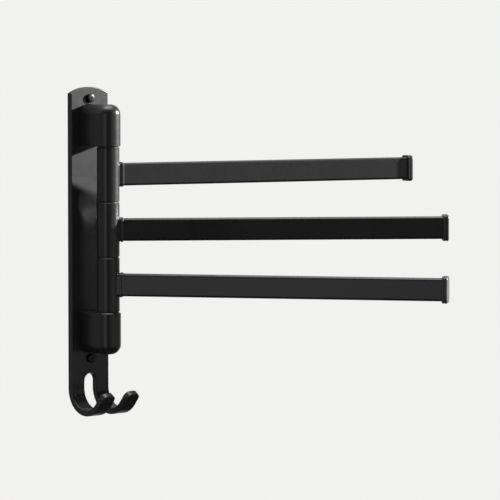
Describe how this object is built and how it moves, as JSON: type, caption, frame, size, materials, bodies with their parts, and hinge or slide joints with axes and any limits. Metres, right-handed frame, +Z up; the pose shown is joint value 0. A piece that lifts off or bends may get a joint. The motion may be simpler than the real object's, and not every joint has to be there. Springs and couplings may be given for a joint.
{
  "type": "towel rack",
  "caption": "Wall-mounted swivel towel rack: flat arms hinged one above another on a vertical shaft, held by housings on a long back plate whose foot is bent into hooks.",
  "frame": {"origin": "on the back face of the plate, where it meets the wall, midway between the two wall screws", "axes": "+Y into the wall, square to the plate's back face; +Z up along the shaft; +X to the right along the wall"},
  "size_m": [0.3128, 0.3058, 0.2903],
  "materials": {
    "coated_aluminium": "satin",
    "black_plastic": "satin",
    "black_nylon": "matte",
    "bright_steel": "satin",
    "dark_steel": "satin"
  },
  "bodies": {
    "wall_bracket": {"back_plate": "coated_aluminium", "top_housing": "coated_aluminium", "bottom_housing": "coated_aluminium", "pivot_shaft": "bright_steel", "top_washer": "black_nylon", "upper_middle_washer": "black_nylon", "lower_middle_washer": "black_nylon", "bottom_washer": "black_nylon", "bracket_screws": "dark_steel", "wall_screws": "dark_steel"},
    "top_arm": {"top_arm_hub": "coated_aluminium", "top_arm_upper_bush": "black_nylon", "top_arm_lower_bush": "black_nylon", "top_arm_collar": "black_plastic", "top_arm_tube": "coated_aluminium", "top_arm_cap": "black_plastic", "top_arm_screw": "dark_steel"},
    "middle_arm": {"middle_arm_hub": "coated_aluminium", "middle_arm_upper_bush": "black_nylon", "middle_arm_lower_bush": "black_nylon", "middle_arm_collar": "black_plastic", "middle_arm_tube": "coated_aluminium", "middle_arm_cap": "black_plastic", "middle_arm_screw": "dark_steel"},
    "bottom_arm": {"bottom_arm_hub": "coated_aluminium", "bottom_arm_upper_bush": "black_nylon", "bottom_arm_lower_bush": "black_nylon", "bottom_arm_collar": "black_plastic", "bottom_arm_tube": "coated_aluminium", "bottom_arm_cap": "black_plastic", "bottom_arm_screw": "dark_steel"}
  },
  "joints": [
    {"name": "top_arm_swing", "type": "hinge", "parent": "wall_bracket", "child": "top_arm", "pos_m": [0, -0.03, 0], "axis": [0, 0, -1], "range_deg": [-17.2, 162.8]},
    {"name": "middle_arm_swing", "type": "hinge", "parent": "wall_bracket", "child": "middle_arm", "pos_m": [0, -0.03, 0], "axis": [0, 0, -1], "range_deg": [-37.7, 142.3]},
    {"name": "bottom_arm_swing", "type": "hinge", "parent": "wall_bracket", "child": "bottom_arm", "pos_m": [0, -0.03, 0], "axis": [0, 0, -1], "range_deg": [-54.8, 125.2]}
  ]
}
